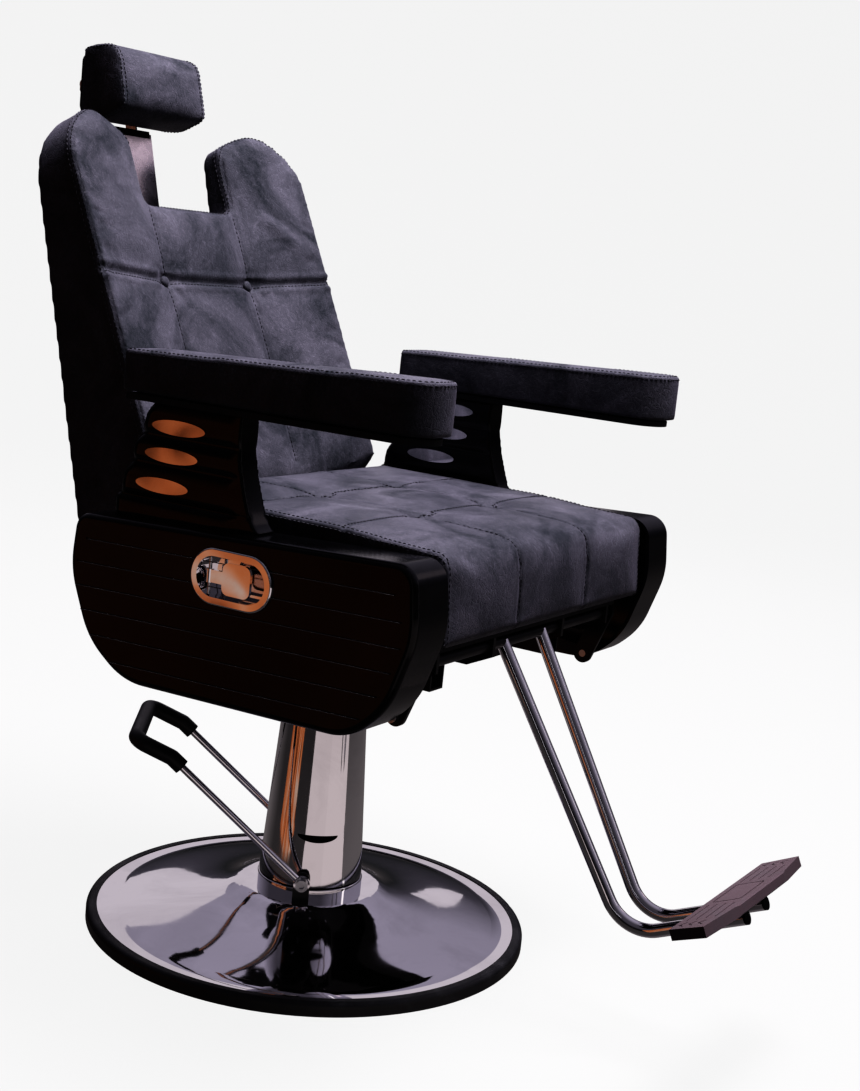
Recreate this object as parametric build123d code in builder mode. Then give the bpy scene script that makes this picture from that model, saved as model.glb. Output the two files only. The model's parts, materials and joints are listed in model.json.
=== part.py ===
"""Hydraulic barber chair with reclining back, linked footrest and height-adjustable headrest.

Millimetres. The origin is on the floor at the centre of the round base, +Z is up, the chair
faces -Y, and +X is the sitter's left. Parts called "right" are on the sitter's right (-X).
"""
import os
from math import atan2, cos, degrees, radians, sin

from build123d import *

# ---------------------------------------------------------------- driving dimensions
BASE_R = 300.0            # outer radius of the rubber ring on the floor
RING_W, RING_H = 14.0, 18.0
PAN_TOP = 58.0            # flat centre of the chromed pan
PAN_FLAT_R = 92.0
CONE_R, CONE_Z = 257.0, 18.8    # where the pan's cone meets its rim
STEEL = 3.0               # sheet thickness of the pressed parts

SLEEVE_Z0, SLEEVE_Z1 = 74.0, 402.0      # tapered column sleeve
SLEEVE_R0, SLEEVE_R1 = 70.6, 51.1
HOUSING_R, HOUSING_TOP = 45.0, 300.0    # outer tube of the pump
RAM_R, FIT = 20.0, 0.05                 # ram, and the radial clearance of running fits
LIFT_TRAVEL = 150.0

PLATE_Z0, RAIL_Z0, CROSS_Z0, BOARD_Z0 = 404.0, 412.0, 456.0, 478.0
RAIL_X, RAIL_W = 150.0, 30.0
SEAT_HALF, SEAT_Z0, SEAT_TOP = 262.0, 486.0, 611.0
SEAT_FRONT, SEAT_REAR = -327.0, 113.0
CHEEK_X, CHEEK_T = 263.2, 5.0           # steel side plates that carry the back hinge
COVER_X0, COVER_X1, COVER_WALL = 269.0, 336.0, 4.0
GROOVE_PITCH, GROOVE_SLOPE = 29.0, 1.9  # six grooves, rising a little to the front
POST_X0, POST_X1 = 275.0, 310.0

HINGE_Y, HINGE_Z = 150.0, 520.0         # back hinge
FOOT_Y, FOOT_Z = -284.0, 464.0          # footrest hinge
CRANK = (25.0, -65.0)                   # same crank vector on both hinges: a parallelogram
STRUT_ARM, STRUT_MID = 80.0, 22.5       # recline strut's arm, and half of the recline angle

RIB_ENDS = ((96, 680), (109, 646.5), (123, 603), (132, 592))   # rear edge of an arm post
RIB_BULGE = 6.0
RIB_GROOVE = 1.5
BACK_TILT = 14.0                        # rear face of the back, from vertical
FRONT_TILT = 24.1                       # front face of the back
BACK_HALF = 248.0
NOTCH_HALF = 92.0

PEDAL_AZ, PEDAL_Z, PEDAL_OFF = 34.5, 84.0, 11.0
PEDAL_RISE, PEDAL_ARM, ARM_U, ROD_R = 41.0, 243.0, 82.4, 4.8

os.makedirs("parts", exist_ok=True)


# ---------------------------------------------------------------- helpers
def save(part, name):
    part.label = name
    export_step(part, f"parts/{name}.step")


def save_pair(part, name):
    """Write a right-hand part and its mirror image on the sitter's left."""
    save(part, f"{name}_right")
    save(mirror(part, about=Plane.YZ), f"{name}_left")


def save_both(part, name):
    """Write a part and its mirror image as two solids of one node."""
    save(Compound(children=[*part.solids(), *mirror(part, about=Plane.YZ).solids()]), name)


def rod(start, end, radius, mode=Mode.ADD):
    """A round bar from one point to another."""
    run = Vector(*end) - Vector(*start)
    with BuildSketch(Plane(origin=start, z_dir=run)) as section:
        Circle(radius)
    extrude(section.sketch, amount=run.length, mode=mode)


def block(x, y, z, mode=Mode.ADD):
    """A box given by its three (low, high) spans."""
    with BuildSketch(Plane.XY.offset(z[0])) as section:
        with Locations(((x[0] + x[1]) / 2, (y[0] + y[1]) / 2)):
            Rectangle(x[1] - x[0], y[1] - y[0])
    extrude(section.sketch, amount=z[1] - z[0], mode=mode)


def side_plane(x):
    """Sketch plane whose local axes are the chair's Y and Z, facing +X."""
    return Plane(origin=(x, 0, 0), x_dir=(0, 1, 0), z_dir=(1, 0, 0))


def plate(points, x0, x1):
    """A flat plate across X with a polygonal side view."""
    with BuildSketch(side_plane(x0)) as section:
        Polygon(*points, align=None)
    extrude(section.sketch, amount=x1 - x0)


def bar(y0, z0, y1, z1, half, x0, x1):
    """A flat bar with round ends between two pin centres, lying in a side plane."""
    run = degrees(atan2(z1 - z0, y1 - y0))
    length = Vector(y1 - y0, z1 - z0).length
    with BuildSketch(side_plane(x0)) as section:
        with Locations(Location(((y0 + y1) / 2, (z0 + z1) / 2), run)):
            SlotCenterToCenter(length, 2 * half)
    extrude(section.sketch, amount=x1 - x0)


def across(y, z, radius, x0, x1, mode=Mode.ADD):
    """A round pin or bore along X."""
    rod((x0, y, z), (x1, y, z), radius, mode)


# ---------------------------------------------------------------- base
def make_base():
    pan_r = BASE_R - RING_W
    with BuildPart() as ring:
        with BuildSketch(Plane.XZ):
            with Locations(((pan_r + BASE_R) / 2, RING_H / 2)):
                Rectangle(RING_W, RING_H)
        revolve(axis=Axis.Z)
        fillet(ring.faces().sort_by(Axis.Z)[-1].edges().sort_by(SortBy.LENGTH)[-1], 6.5)
    save(ring.part, "base_rubber_ring")

    with BuildPart() as pan:
        with BuildSketch(Plane.XZ):
            with BuildLine():
                hole = HOUSING_R + 0.5
                Polyline((hole, PAN_TOP - STEEL), (hole, PAN_TOP), (PAN_FLAT_R, PAN_TOP))
                # a cone, then a shallow dished rim inside the rubber ring
                Spline((PAN_FLAT_R, PAN_TOP), (106, 53), (CONE_R, CONE_Z),
                       tangents=[(1, -0.1), (1, -0.225)])
                ThreePointArc((CONE_R, CONE_Z), (271, 16.2), (pan_r, RING_H - 1))
                Polyline((pan_r, RING_H - 1), (pan_r, 4), (pan_r - STEEL, 4),
                         (pan_r - STEEL, RING_H - 1 - STEEL))
                ThreePointArc((pan_r - STEEL, RING_H - 1 - STEEL), (270, 13.2),
                              (CONE_R, CONE_Z - STEEL))
                Spline((CONE_R, CONE_Z - STEEL), (106, 53 - STEEL), (PAN_FLAT_R, PAN_TOP - STEEL),
                       tangents=[(-1, 0.225), (-1, 0.1)])
                Line((PAN_FLAT_R, PAN_TOP - STEEL), (hole, PAN_TOP - STEEL))
            make_face()
        revolve(axis=Axis.Z)
    save(pan.part, "base_pan")

    with BuildPart() as ballast:
        with BuildSketch(Plane.XY.offset(2)):
            Circle(258)
        extrude(amount=10)
    save(ballast.part, "ballast_disc")

    bolt_ring = PolarLocations(56, 4, 20)
    with BuildPart() as housing:
        with BuildSketch(Plane.XY.offset(12)):
            Circle(HOUSING_R)
        extrude(amount=HOUSING_TOP - 12)
        with BuildSketch(Plane.XY.offset(PAN_TOP)):
            Circle(66)
        extrude(amount=8)
        with BuildSketch(Plane.XY.offset(30)):
            Circle(RAM_R + FIT)
        extrude(amount=HOUSING_TOP - 30, mode=Mode.SUBTRACT)
        with BuildSketch(Plane.XY.offset(PAN_TOP)), bolt_ring:
            Circle(5)
        extrude(amount=8, mode=Mode.SUBTRACT)
    save(housing.part, "pump_housing")

    with BuildPart() as bolts:
        with BuildSketch(Plane.XY.offset(PAN_TOP)), bolt_ring:
            Circle(5)
        extrude(amount=8)
        with BuildSketch(Plane.XY.offset(PAN_TOP + 8)), bolt_ring:
            RegularPolygon(8, 6)
        extrude(amount=6)
    save(bolts.part, "pump_bolts")

    with BuildPart() as gland:
        with BuildSketch(Plane.XY.offset(HOUSING_TOP)):
            RegularPolygon(30, 6)
            Circle(RAM_R + FIT, mode=Mode.SUBTRACT)
        extrude(amount=16)
    save(gland.part, "gland_nut")

    with BuildPart() as trim:
        with BuildSketch(Plane.XY.offset(PAN_TOP)):
            Circle(72)
            Circle(67, mode=Mode.SUBTRACT)
        extrude(amount=14)
        fillet(trim.faces().sort_by(Axis.Z)[-1].edges().sort_by(SortBy.LENGTH)[-1], 2)
    save(trim.part, "column_trim_ring")


# ---------------------------------------------------------------- pedal
def pedal_point(along, up, out):
    """Point in the pedal's own frame: along the lever's plan, up, and out along the pivot."""
    az = radians(PEDAL_AZ)
    run = PEDAL_OFF + along
    return (-sin(az) * run + cos(az) * out, cos(az) * run + sin(az) * out, PEDAL_Z + up)


def pedal_plane(out):
    az = radians(PEDAL_AZ)
    return Plane(origin=pedal_point(0, 0, out), x_dir=(-sin(az), cos(az), 0),
                 z_dir=(cos(az), sin(az), 0))


def pivot_disc(radius, out0, out1, mode=Mode.ADD):
    """A disc on the pedal's pivot axis, between two distances from the column's centre."""
    low, high = sorted((out0, out1))
    with BuildSketch(pedal_plane(low)) as section:
        Circle(radius)
    extrude(section.sketch, amount=high - low, mode=mode)


def make_pedal():
    lug_u, hub_u, head_u = 72.3, 77.4, 87.6
    rise, droop = radians(PEDAL_RISE), radians(PEDAL_RISE - 18)
    grip_from = (PEDAL_ARM * cos(rise), PEDAL_ARM * sin(rise))
    grip_end = (grip_from[0] + 53 * cos(droop), grip_from[1] + 53 * sin(droop))
    plug = 18.0     # length of rod inside the grip

    with BuildPart() as lugs:
        for side in (-1, 1):
            with BuildSketch(pedal_plane(min(side * lug_u, side * (lug_u + 5)))):
                with Locations((0, (PAN_TOP - PEDAL_Z) / 2)):
                    Rectangle(22, PEDAL_Z - PAN_TOP)
                with Locations((0, 2)):
                    Circle(11)
                Circle(4.5, mode=Mode.SUBTRACT)
            extrude(amount=5)
    save(lugs.part, "pedal_lugs")

    for side, name in ((-1, "right"), (1, "left")):
        with BuildPart() as arm:
            pivot_disc(11, side * hub_u, side * (hub_u + 10))
            out = side * ARM_U
            tip = (grip_from[0] + 2 * cos(rise), grip_from[1] + 2 * sin(rise))
            rod(pedal_point(7 * cos(rise), 7 * sin(rise), out), pedal_point(*tip, out), ROD_R)
            pivot_disc(4.5 + FIT, side * hub_u, side * (hub_u + 10), Mode.SUBTRACT)
        save(arm.part, f"pedal_arm_{name}")

    with BuildPart() as bolts:
        for side in (-1, 1):
            pivot_disc(4.5, side * lug_u, side * head_u)
            pivot_disc(8, side * head_u, side * (head_u + 6))
            with BuildSketch(pedal_plane(side * (head_u + 6))):
                RegularPolygon(4, 6)
            extrude(amount=-side * 3.5, mode=Mode.SUBTRACT)
    save(bolts.part, "pedal_pivot_bolts")

    with BuildPart() as grip:
        back = (grip_from[0] - plug * cos(rise), grip_from[1] - plug * sin(rise))
        corners = [pedal_point(*back, -ARM_U), pedal_point(*grip_from, -ARM_U),
                   pedal_point(*grip_end, -ARM_U), pedal_point(*grip_end, ARM_U),
                   pedal_point(*grip_from, ARM_U), pedal_point(*back, ARM_U)]
        with BuildLine() as path:
            FilletPolyline(*corners, radius=(12, 16, 16, 12))
        with BuildSketch(Plane(origin=path.line @ 0, z_dir=path.line % 0)):
            Circle(10.5)
        sweep(path=path.line)
        for side in (-1, 1):
            inner = (grip_from[0] + 2 * cos(rise), grip_from[1] + 2 * sin(rise))
            start = (back[0] - 1 * cos(rise), back[1] - 1 * sin(rise))
            rod(pedal_point(*start, side * ARM_U), pedal_point(*inner, side * ARM_U), ROD_R,
                Mode.SUBTRACT)
    save(grip.part, "pedal_grip")


# ---------------------------------------------------------------- column
def make_column():
    with BuildPart() as ram:
        with BuildSketch(Plane.XY.offset(40)):
            Circle(RAM_R)
        extrude(amount=400 - 40)
        chamfer(ram.faces().sort_by(Axis.Z)[-1].edges(), 2)
    save(ram.part, "pump_ram")

    # the half-moon window is on the front right of the sleeve
    window_az, window_z = radians(-141), 146.0
    with BuildPart() as sleeve:
        with BuildSketch(Plane.XZ):
            with BuildLine():
                Polyline((SLEEVE_R0, SLEEVE_Z0), (SLEEVE_R1, SLEEVE_Z1),
                         (SLEEVE_R1 - STEEL, SLEEVE_Z1), (SLEEVE_R0 - STEEL, SLEEVE_Z0),
                         (SLEEVE_R0, SLEEVE_Z0))
            make_face()
        revolve(axis=Axis.Z)
        facing = Vector(cos(window_az), sin(window_az), 0)
        with BuildSketch(Plane(origin=facing * 50 + Vector(0, 0, window_z),
                               x_dir=(-facing.Y, facing.X, 0), z_dir=facing)):
            Ellipse(27, 10)
            with Locations((0, 10)):
                Rectangle(60, 20, mode=Mode.SUBTRACT)
        extrude(amount=40, mode=Mode.SUBTRACT)
    save(sleeve.part, "column_sleeve")

    bolt_grid = GridLocations(150, 180, 2, 2)
    with BuildPart() as plate_part:
        block((-110, 110), (-120, 120), (PLATE_Z0, RAIL_Z0))
        fillet(plate_part.edges().filter_by(Axis.Z), 12)
        with BuildSketch(Plane.XY.offset(PLATE_Z0)), bolt_grid:
            Circle(5)
        extrude(amount=8, mode=Mode.SUBTRACT)
        for x in (-RAIL_X, RAIL_X):
            block((x - 20, x + 20), (-110, 110), (PLATE_Z0, RAIL_Z0))
            block(sorted((x, x * 0.7)), (-110, 110), (PLATE_Z0, RAIL_Z0))
        with BuildSketch(Plane.XY.offset(330)):
            Circle(34)
        extrude(amount=PLATE_Z0 - 330)
        with BuildSketch(Plane.XY.offset(330)):
            Circle(RAM_R + FIT)
        extrude(amount=400.2 - 330, mode=Mode.SUBTRACT)
    save(plate_part.part, "swivel_plate")

    with BuildPart() as bolts:
        with BuildSketch(Plane.XY.offset(PLATE_Z0)), bolt_grid:
            Circle(5)
        extrude(amount=8)
        for level in (PLATE_Z0 - 6, RAIL_Z0):
            with BuildSketch(Plane.XY.offset(level)), bolt_grid:
                RegularPolygon(8.5, 6)
            extrude(amount=6)
    save(bolts.part, "mount_bolts")


# ---------------------------------------------------------------- seat frame
def make_frame():
    with BuildPart() as rail:
        block((-RAIL_X - RAIL_W / 2, -RAIL_X + RAIL_W / 2), (-255, 118), (RAIL_Z0, CROSS_Z0))
        block((-RAIL_X - 12, -RAIL_X + 12), (-255, 118), (RAIL_Z0 + 3, CROSS_Z0 - 3),
              Mode.SUBTRACT)
    save_both(rail.part, "frame_rails")

    with BuildPart() as cross:
        for low, high in ((-250, -220), (-20, 10)):
            block((-CHEEK_X, CHEEK_X), (low, high), (CROSS_Z0, BOARD_Z0))
            block((-CHEEK_X, CHEEK_X), (low + 3, high - 3), (CROSS_Z0 + 3, BOARD_Z0 - 3),
                  Mode.SUBTRACT)
    save(cross.part, "frame_crossbars")

    # side plate: carries the back hinge, the arm upright and both crossbars
    with BuildPart() as cheek:
        plate([(-262, 452), (-262, 480), (-60, 560), (60, 560), (140, 548), (172, 536),
               (172, 504), (120, 470), (60, 440), (-200, 440)], -CHEEK_X - CHEEK_T, -CHEEK_X)
        across(HINGE_Y, HINGE_Z, 7 + FIT, -270, -260, Mode.SUBTRACT)
    save_both(cheek.part, "hinge_plates")

    # ears under the front crossbar hold the footrest shaft
    with BuildPart() as ear:
        for x0 in (-94, -226):
            plate([(-222, 436), (-222, CROSS_Z0), (-250, CROSS_Z0), (-250, 476), (-296, 476),
                   (-296, 452), (-262, 436)], x0, x0 + 6)
        across(FOOT_Y, FOOT_Z, 8 + FIT, -230, -80, Mode.SUBTRACT)
    save_both(ear.part, "footrest_ears")

    with BuildPart() as board:
        block((-250, 250), (-300, 90), (BOARD_Z0, SEAT_Z0))
        fillet(board.edges().filter_by(Axis.Z), 20)
    save(board.part, "seat_board")

    with BuildPart() as cushion:
        with BuildSketch(side_plane(-SEAT_HALF)):
            Polygon((SEAT_REAR, SEAT_Z0), (SEAT_REAR, SEAT_TOP + 1), (-150, SEAT_TOP - 1),
                    (SEAT_FRONT + 8, SEAT_TOP - 10), (SEAT_FRONT, SEAT_Z0), align=None)
        extrude(amount=2 * SEAT_HALF)
        fillet(cushion.edges().filter_by(Axis.X).sort_by(Axis.Y)[:2].sort_by(Axis.Z)[-1], 24)
        fillet(cushion.faces().sort_by(Axis.X)[0].edges().group_by(Axis.Z)[-1], 10)
        fillet(cushion.faces().sort_by(Axis.X)[-1].edges().group_by(Axis.Z)[-1], 10)
    save(cushion.part, "seat_cushion")


# ---------------------------------------------------------------- side covers and arms
def cover_top(y):
    """Height of the cover's top ledge, which rises a little to the front."""
    return 586 - (y + 109) * 10 / 237


def cover_face():
    """Side view of a cover: straight top and bottom edges joined by full, rounded ends."""
    corners = {(163, cover_top(163)): 22, (170, 505): 105, (135, 422): 105, (75, 380): 95,
               (-255, 386): 78, (-303, 430): 105, (-331, 515): 105, (-322, cover_top(-322)): 28}
    with BuildLine() as edge:
        FilletPolyline(*corners, radius=tuple(corners.values()), close=True)
    return make_face(edge.edges(), mode=Mode.PRIVATE)


def make_covers():
    handle_y, handle_z = -79.5, 534.5
    with BuildPart() as cover:
        with BuildSketch(side_plane(-COVER_X1)):
            add(cover_face())
        extrude(amount=COVER_X1 - COVER_X0)
        fillet(cover.faces().sort_by(Axis.X)[0].edges(), 8)
        with BuildSketch(side_plane(-COVER_X1 + COVER_WALL)):
            offset(cover_face(), amount=-COVER_WALL - 1)
        extrude(amount=COVER_X1 - COVER_X0, mode=Mode.SUBTRACT)
        # six fine grooves along the outer face
        for row in range(6):
            mid_z = 552.5 - GROOVE_PITCH * row
            bulge = 0.055 * abs(mid_z - 505) ** 1.62
            front, rear = -315 + 0.5 * bulge, 160 - 0.55 * bulge
            with BuildSketch(side_plane(-COVER_X1)):
                with Locations(Location(((front + rear) / 2, mid_z), -GROOVE_SLOPE)):
                    SlotOverall(rear - front, 2.2)
            extrude(amount=1.6, mode=Mode.SUBTRACT)
        # openings for the handle cup and the arm upright
        with BuildSketch(side_plane(-COVER_X1)):
            with Locations((handle_y, handle_z)):
                SlotOverall(104, 54)
        extrude(amount=20, mode=Mode.SUBTRACT)
        block((-295, -285), (-31, 31), (560, 600), Mode.SUBTRACT)
    save_pair(cover.part, "side_cover")

    # the recline handle: a dished stadium bezel with a T-shaped pull flap in it
    with BuildPart() as cup:
        with BuildSketch(side_plane(-COVER_X1 - 3.5)):
            with Locations((handle_y, handle_z)):
                SlotOverall(117, 67)
        extrude(amount=3.5)
        fillet(cup.faces().sort_by(Axis.X)[0].edges(), 2.5)
        with BuildSketch(side_plane(-COVER_X1)):
            with Locations((handle_y, handle_z)):
                SlotOverall(103, 53)
        extrude(amount=18)
        with BuildSketch(side_plane(-COVER_X1 - 4)):
            with Locations((handle_y, handle_z)):
                SlotOverall(98, 48)
        extrude(amount=20, mode=Mode.SUBTRACT)
    save_both(cup.part, "handle_bezels")

    flap_y = handle_y + 33      # stem end, next to the hinge pin
    with BuildPart() as flap:
        with BuildSketch(side_plane(-COVER_X1 - 1.5)):
            with Locations((flap_y - 10, handle_z)):
                Rectangle(24, 15)
            with Locations((flap_y - 40, handle_z)):
                RectangleRounded(40, 38, 9)
        extrude(amount=4)
        rod((-COVER_X1 + 1.5, flap_y, handle_z - 8), (-COVER_X1 + 1.5, flap_y, handle_z + 8), 4.5)
        rod((-COVER_X1 + 1.5, flap_y, handle_z - 9), (-COVER_X1 + 1.5, flap_y, handle_z + 9),
            2 + FIT, Mode.SUBTRACT)
    save_pair(flap.part, "handle_flap")

    with BuildPart() as pin:
        half = 21.8     # reaches the wall of the cup
        rod((-COVER_X1 + 1.5, flap_y, handle_z - half),
            (-COVER_X1 + 1.5, flap_y, handle_z + half), 2)
    save_both(pin.part, "handle_pins")


def make_arms():
    top_z, foot_z = 721.0, 596.0
    with BuildPart() as post:
        with BuildSketch(side_plane(-POST_X1)):
            with BuildLine():
                # the rear edge steps outwards rib by rib towards the foot
                start = (78, top_z)
                for y_next, z_next in RIB_ENDS:
                    bulge = ((start[0] + y_next) / 2 + RIB_BULGE, (start[1] + z_next) / 2)
                    ThreePointArc(start, bulge, (y_next, z_next))
                    start = (y_next, z_next)
                Polyline(start, (131, cover_top(131)), (-96, cover_top(-96)))
                Spline((-96, cover_top(-96)), (-74, 612), (-60, 655), (-55, top_z),
                       tangents=[(1, 0.35), (0, 1)])
                Line((-55, top_z), (78, top_z))
            make_face()
        extrude(amount=POST_X1 - POST_X0)
        # level grooves between the ribs, on both faces
        for _, z_groove in RIB_ENDS[:3]:
            for x in (-POST_X1, -POST_X0 - RIB_GROOVE):
                block((x, x + RIB_GROOVE), (-90, 130), (z_groove - 1.5, z_groove + 1.5),
                      Mode.SUBTRACT)
        block((-294.3, -285.7), (-30.3, 30.3), (foot_z - 30, 716), Mode.SUBTRACT)
    save_pair(post.part, "arm_post")

    with BuildPart() as upright:
        block((-294, -286), (-30, 30), (490, 716))
        block((-286, -CHEEK_X - CHEEK_T), (-30, 30), (490, 530))
    save_both(upright.part, "arm_uprights")

    # three oval inlays on each face of each post
    with BuildPart() as inlay:
        for x0, x1, spots in ((-POST_X1 - 1.5, -POST_X1, ((35, 692), (43, 658), (54, 621))),
                              (-POST_X0, -POST_X0 + 1.5, ((14, 703), (20, 668), (38, 631)))):
            for y, z in spots:
                with BuildSketch(side_plane(x0)):
                    with Locations((y, z)):
                        Ellipse(40, 9)
                extrude(amount=x1 - x0)
    save_both(inlay.part, "arm_inlays")

    with BuildPart() as board:
        with BuildSketch(Plane.XY.offset(top_z)):
            with BuildLine():
                Polyline((-266, -275), (-266, 96), (-337, 96), (-337, -275))
                ThreePointArc((-337, -275), (-301.5, -313), (-266, -275))
            make_face()
        extrude(amount=7)
    save_both(board.part, "arm_boards")

    with BuildPart() as pad:
        with BuildSketch(Plane.XY.offset(top_z + 7.3)):
            with BuildLine():
                FilletPolyline((-259, 105), (-344, 105), (-344, -323), (-259, -323),
                               radius=(12, 12, 36, 36), close=True)
            make_face()
        extrude(amount=70)
        with BuildSketch(side_plane(-350)):
            Polygon((-340, 794), (120, 781), (120, 900), (-340, 900), align=None)
        extrude(amount=110, mode=Mode.SUBTRACT)
        fillet(pad.faces().sort_by(Axis.Z)[-1].edges(), 7)
    save_pair(pad.part, "arm_pad")


# ---------------------------------------------------------------- back
def back_plane(x):
    """Side plane aligned with the rear of the back: local x rearwards, local y up along it."""
    tilt = radians(BACK_TILT)
    return Plane(origin=(x, 405, 1000), x_dir=(0, cos(tilt), -sin(tilt)), z_dir=(1, 0, 0))


def back_point(rearward, up):
    """(y, z) of a point given in the back plane's own axes."""
    tilt = radians(BACK_TILT)
    return (405 + rearward * cos(tilt) + up * sin(tilt),
            1000 - rearward * sin(tilt) + up * cos(tilt))


def front_plane(depth=0.0):
    """Plane of the back's front face: local x to the sitter's left, local y up the face."""
    tilt = radians(FRONT_TILT)
    out = Vector(0, -cos(tilt), sin(tilt))
    origin = Vector(0, 224.6, 865.8) + out * depth
    return Plane(origin=origin, x_dir=(1, 0, 0), z_dir=out)


def make_back():
    rear = -32.3           # rear face, in the back plane's local x
    board_t = 12.0
    sunk = 29.0            # depth of the middle of the front behind its side piping
    tilt = radians(BACK_TILT)

    def rear_y(z):
        return 250 + (z - 512) * sin(tilt) / cos(tilt)

    with BuildPart() as cushion:
        with BuildSketch(side_plane(-BACK_HALF)):
            with BuildLine():
                shift = board_t / cos(tilt)
                Polyline((rear_y(508) - shift, 508), (176, 508), (113, 625), (315, 1068))
                Spline((315, 1068), (338, 1071), (rear_y(1040) - shift, 1040),
                       tangents=[(0.45, 0.9), (-0.2, -1)])
                Line((rear_y(1040) - shift, 1040), (rear_y(508) - shift, 508))
            make_face()
        extrude(amount=2 * BACK_HALF)
        # outline of the front: two rounded lobes with a notch between them
        with BuildSketch(front_plane(60)) as outline:
            Rectangle(700, 1400)
            with BuildLine():
                Polyline((0, -480), (200, -480), (BACK_HALF, -300), (BACK_HALF, 135))
                Spline((BACK_HALF, 135), (224, 197), (158, 226), (110, 210), (NOTCH_HALF, 165),
                       tangents=[(0, 1), (0, -1)])
                Polyline((NOTCH_HALF, 165), (NOTCH_HALF, 108), (0, 108), (0, -480))
            make_face(mode=Mode.SUBTRACT)
            with BuildLine():
                Polyline((0, -480), (-200, -480), (-BACK_HALF, -300), (-BACK_HALF, 135))
                Spline((-BACK_HALF, 135), (-224, 197), (-158, 226), (-110, 210),
                       (-NOTCH_HALF, 165), tangents=[(0, 1), (0, -1)])
                Polyline((-NOTCH_HALF, 165), (-NOTCH_HALF, 108), (0, 108), (0, -480))
            make_face(mode=Mode.SUBTRACT)
        extrude(amount=-400, mode=Mode.SUBTRACT)
        # the middle of the front is sunk between two bolsters
        face = front_plane()
        with BuildSketch(Plane(origin=face.origin - face.y_dir * 500, x_dir=face.x_dir,
                               z_dir=face.y_dir)):
            Polygon((-235, 1), (-90, sunk), (90, sunk), (235, 1), (235, -60), (-235, -60),
                    align=None)
        extrude(amount=900, mode=Mode.SUBTRACT)
    save(cushion.part, "back_cushion")

    # two buttons pull the cushion in where its seams cross
    with BuildPart() as buttons:
        with BuildSketch(front_plane(-sunk + 2.5)):
            with Locations((-90, 0), (90, 0)):
                Circle(9)
        extrude(amount=5)
    save(buttons.part, "back_buttons")

    with BuildPart() as board:
        with BuildSketch(back_plane(0)):
            with Locations((rear - board_t / 2, -200)):
                Rectangle(board_t, 600)
        extrude(amount=228, both=True)
        # trimmed at the foot, at the lobes and in the notch
        block((-300, 300), (100, 500), (300, 512), Mode.SUBTRACT)
        block((-300, 300), (100, 500), (1000, 1200), Mode.SUBTRACT)
        block((-122, 122), (250, 500), (905, 1200), Mode.SUBTRACT)
        fillet(board.edges().filter_by(Axis.Y, tolerance=30).filter_by_position(
            Axis.Z, 980, 1010).sort_by(Axis.X)[0], 45)
        fillet(board.edges().filter_by(Axis.Y, tolerance=30).filter_by_position(
            Axis.Z, 980, 1010).sort_by(Axis.X)[-1], 45)
    save(board.part, "back_board")

    # steel arms join the board to the hinge shaft and reach down to the links; their
    # rear halves step inboard, behind the board
    crank_y, crank_z = HINGE_Y + CRANK[0], HINGE_Z + CRANK[1]
    step_y, step_z, rear_x = 222.0, 492.0, -190.0
    with BuildPart() as arm:
        bar(HINGE_Y, HINGE_Z, crank_y, crank_z, 13, -245, -239)
        bar(168, 490, step_y, step_z, 10, -245, -239)
        across(step_y, step_z, 9, -245, rear_x + 6)
        bar(step_y, step_z, 256, 496, 10, rear_x, rear_x + 6)
        bar(*back_point(-20, -515), *back_point(-20, -400), 12, rear_x, rear_x + 6)
        with BuildSketch(back_plane(rear_x)):
            with Locations((rear + 3, -440)):
                Rectangle(6, 150)
        extrude(amount=34)
        across(HINGE_Y, HINGE_Z, 8, -250, -230, Mode.SUBTRACT)
        across(crank_y, crank_z, 5, -250, -230, Mode.SUBTRACT)
    save_both(arm.part, "back_arms")

    with BuildPart() as shaft:
        across(HINGE_Y, HINGE_Z, 8, -246, 246)
        across(HINGE_Y, HINGE_Z, 7, -CHEEK_X - CHEEK_T, CHEEK_X + CHEEK_T)
    save(shaft.part, "back_hinge_shaft")

    # the recline strut pushes on this bracket; at mid-travel the arm is square to the strut
    swing = radians(STRUT_MID)
    pin_y, pin_z = HINGE_Y + STRUT_ARM * sin(swing), HINGE_Z - STRUT_ARM * cos(swing)
    with BuildPart() as bracket:
        for x0 in (-12, 7):
            bar(HINGE_Y, HINGE_Z, pin_y, pin_z, 11, x0, x0 + 5)
        across(pin_y, pin_z, 4, -12, 12)
        across(HINGE_Y, HINGE_Z, 8, -15, 15, Mode.SUBTRACT)
    save(bracket.part, "strut_bracket")


# ---------------------------------------------------------------- recline strut and links
def make_strut():
    axis_z = HINGE_Z - STRUT_ARM * (1 + cos(radians(STRUT_MID))) / 2
    eye_y = HINGE_Y + STRUT_ARM * sin(radians(STRUT_MID))
    with BuildPart() as cylinder:
        rod((0, -215, axis_z), (0, 60, axis_z), 12)
        block((-14, 14), (-250, -213), (axis_z - 14, CROSS_Z0))
        rod((0, -205, axis_z), (0, 60, axis_z), 5 + FIT, Mode.SUBTRACT)
    save(cylinder.part, "strut_cylinder")

    with BuildPart() as piston:
        rod((0, 0, axis_z), (0, eye_y - 9, axis_z), 5)
        across(eye_y, axis_z, 12.5, -6.5, 6.5)
        across(eye_y, axis_z, 8, -6.5, 6.5, Mode.SUBTRACT)
    save(piston.part, "strut_rod")


def make_links():
    front = (FOOT_Y + CRANK[0], FOOT_Z + CRANK[1])
    back = (HINGE_Y + CRANK[0], HINGE_Z + CRANK[1])
    with BuildPart() as link:
        bar(*front, *back, 8, -252, -246)
        for pin in (front, back):
            across(*pin, 4 + FIT, -255, -240, Mode.SUBTRACT)
    save_both(link.part, "link_bars")

    for pin, name in ((front, "front"), (back, "rear")):
        with BuildPart() as pins:
            for side in (-1, 1):
                across(*pin, 5, side * 239, side * 245)
                across(*pin, 4, side * 245, side * 253)
                across(*pin, 7, side * 252.3, side * 255.5)
        save(pins.part, f"link_pins_{name}")


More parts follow.
